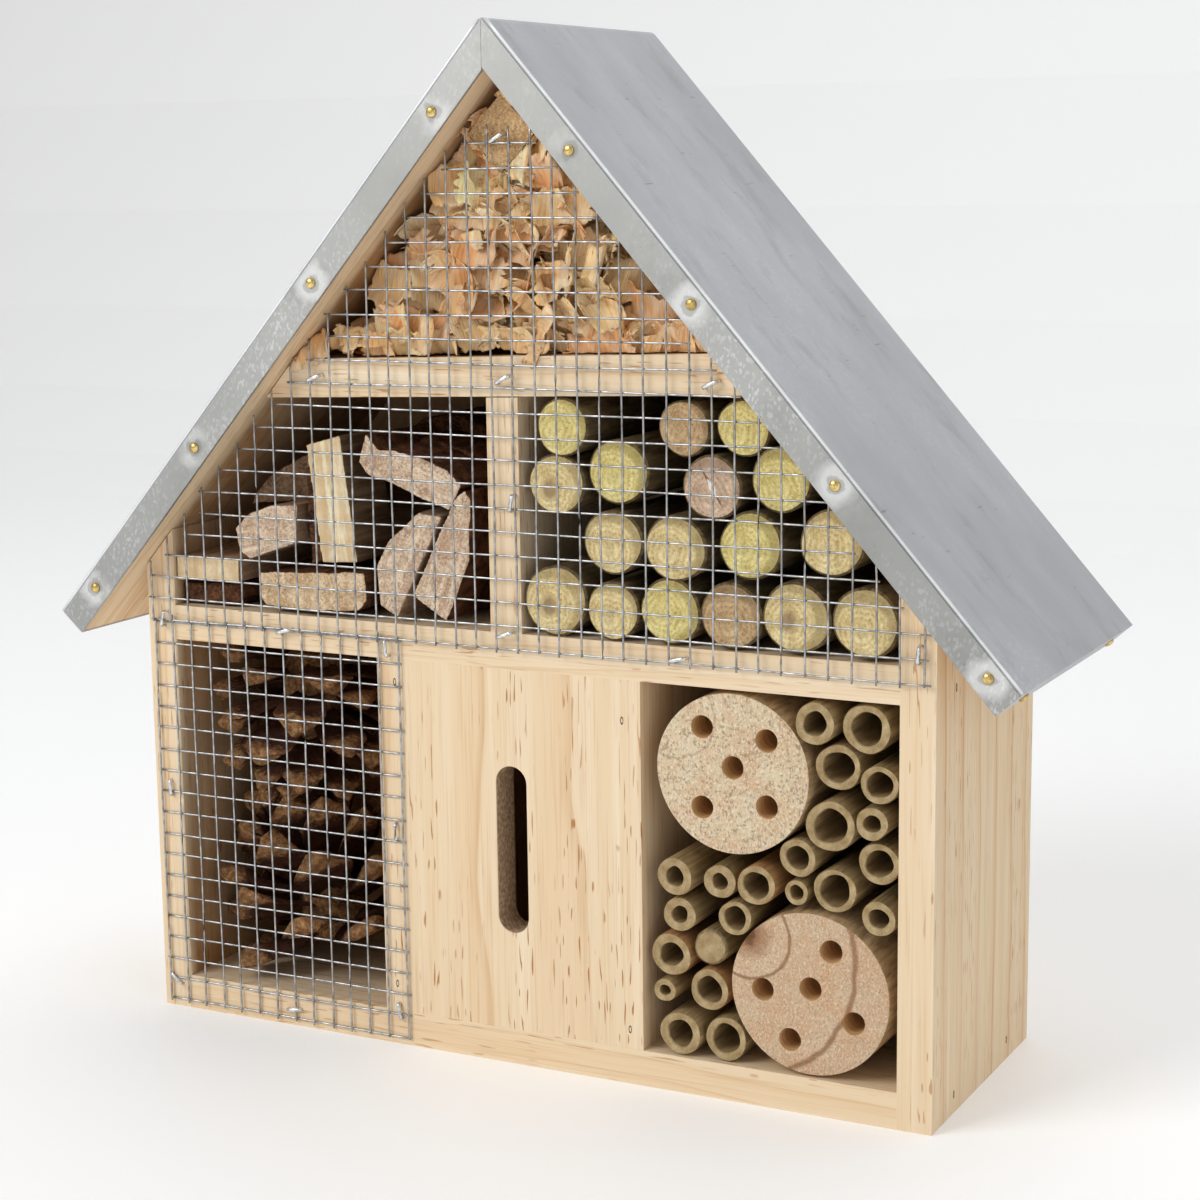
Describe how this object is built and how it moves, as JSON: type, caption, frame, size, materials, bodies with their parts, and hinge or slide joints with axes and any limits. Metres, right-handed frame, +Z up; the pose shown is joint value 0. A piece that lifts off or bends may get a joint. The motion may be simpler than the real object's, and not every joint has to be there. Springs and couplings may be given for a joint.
{
  "type": "insect hotel",
  "caption": "Gabled wooden insect hotel with a folded metal roof, slotted butterfly panel, wire mesh fronts and natural nesting fillings.",
  "frame": {"origin": "middle of the footprint, on the ground plane that the walls stand on", "axes": "+X to the right seen from the front, +Y towards the back panel, +Z up; the slotted panel and the mesh face -Y"},
  "size_m": [0.29, 0.097, 0.2821],
  "materials": {
    "carcass_wood": "planed, untreated pale softwood with orange growth bands and short dark resin lines",
    "panel_wood": "planed, untreated pale softwood, upright grain",
    "roof_metal": "matt galvanised sheet with fine scratches",
    "mesh_wire": "bright galvanised wire, welded at each crossing",
    "hanger_metal": "yellow-passivated steel strap",
    "wood_shavings": "loose curled planer shavings, straw to orange",
    "branch_wood": "sawn ends of peeled branches, rough",
    "log_end_grain": "rough sawn end grain with drilled holes",
    "offcut_wood": "sawn offcuts with bark left on",
    "cone_scale": "dry open cone scales, dark with pale rough tips",
    "bamboo_cane": "dull olive-tan skin, fibrous cut ends"
  },
  "bodies": {
    "root": {"back_panel": "carcass_wood", "bamboo_01": "bamboo_cane", "bamboo_02": "bamboo_cane", "bamboo_03": "bamboo_cane", "bamboo_04": "bamboo_cane", "bamboo_05": "bamboo_cane", "bamboo_06": "bamboo_cane", "bamboo_07": "bamboo_cane", "bamboo_08": "bamboo_cane", "bamboo_09": "bamboo_cane", "bamboo_10": "bamboo_cane", "bamboo_11": "bamboo_cane", "bamboo_12": "bamboo_cane", "bamboo_13": "bamboo_cane", "bamboo_14": "bamboo_cane", "bamboo_15": "bamboo_cane", "bamboo_16": "bamboo_cane", "bamboo_17": "bamboo_cane", "bamboo_18": "bamboo_cane", "bamboo_19": "bamboo_cane", "bamboo_20": "bamboo_cane", "bamboo_21": "bamboo_cane", "bamboo_22": "bamboo_cane", "bottom_board": "carcass_wood", "butterfly_panel": "panel_wood", "hanger_strap": "hanger_metal", "log_disc_lower": "log_end_grain", "log_disc_upper": "log_end_grain", "lower_divider_left": "carcass_wood", "lower_divider_right": "carcass_wood", "middle_shelf": "carcass_wood", "offcut_curved_slab": "offcut_wood", "offcut_floor_board": "offcut_wood", "offcut_half_round": "offcut_wood", "offcut_rough_block": "offcut_wood", "offcut_sawn_wedge": "offcut_wood", "offcut_streaked_plank": "offcut_wood", "offcut_upright_board": "offcut_wood", "pine_cone_lower": "cone_scale", "pine_cone_upper": "cone_scale", "ridge_batten": "carcass_wood", "roof_board_left": "carcass_wood", "roof_board_right": "carcass_wood", "roof_sheet": "roof_metal", "shavings_heap": "wood_shavings", "stick_01": "branch_wood", "stick_02": "branch_wood", "stick_03": "branch_wood", "stick_04": "branch_wood", "stick_05": "branch_wood", "stick_06": "branch_wood", "stick_07": "branch_wood", "stick_row_bottom": "branch_wood", "stick_row_second": "branch_wood", "upper_divider": "carcass_wood", "upper_shelf": "carcass_wood", "wall_left": "carcass_wood", "wall_right": "carcass_wood", "wire_mesh_lower": "mesh_wire", "wire_mesh_upper": "mesh_wire"}
  },
  "joints": []
}
